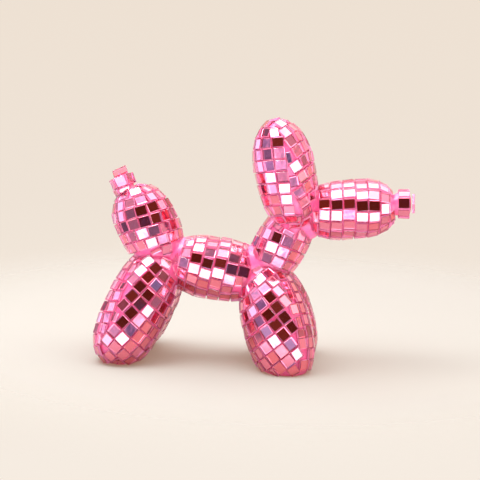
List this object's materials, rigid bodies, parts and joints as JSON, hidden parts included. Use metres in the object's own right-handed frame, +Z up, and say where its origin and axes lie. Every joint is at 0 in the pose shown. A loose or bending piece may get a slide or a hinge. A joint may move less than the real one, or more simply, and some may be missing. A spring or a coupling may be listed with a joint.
{
  "type": "balloon poodle ornament",
  "caption": "Table ornament in the shape of a twisted-balloon poodle, cast in pink resin and covered with small square mirror tiles. It stands on its feet.",
  "frame": {"origin": "on the floor under the middle of the ornament's box", "axes": "+X to the nose, +Z up, +Y to the dog's right side"},
  "size_m": [0.1444, 0.0594, 0.1146],
  "materials": {
    "pink_mirror_tile": "square pink glass tiles with a mirrored back, glued on with narrow gaps",
    "pink_resin": "cast polyester resin, smooth semi-gloss, showing in the joints and between the tiles"
  },
  "bodies": {
    "root": {"balloon_poodle": "pink_mirror_tile"}
  },
  "joints": []
}
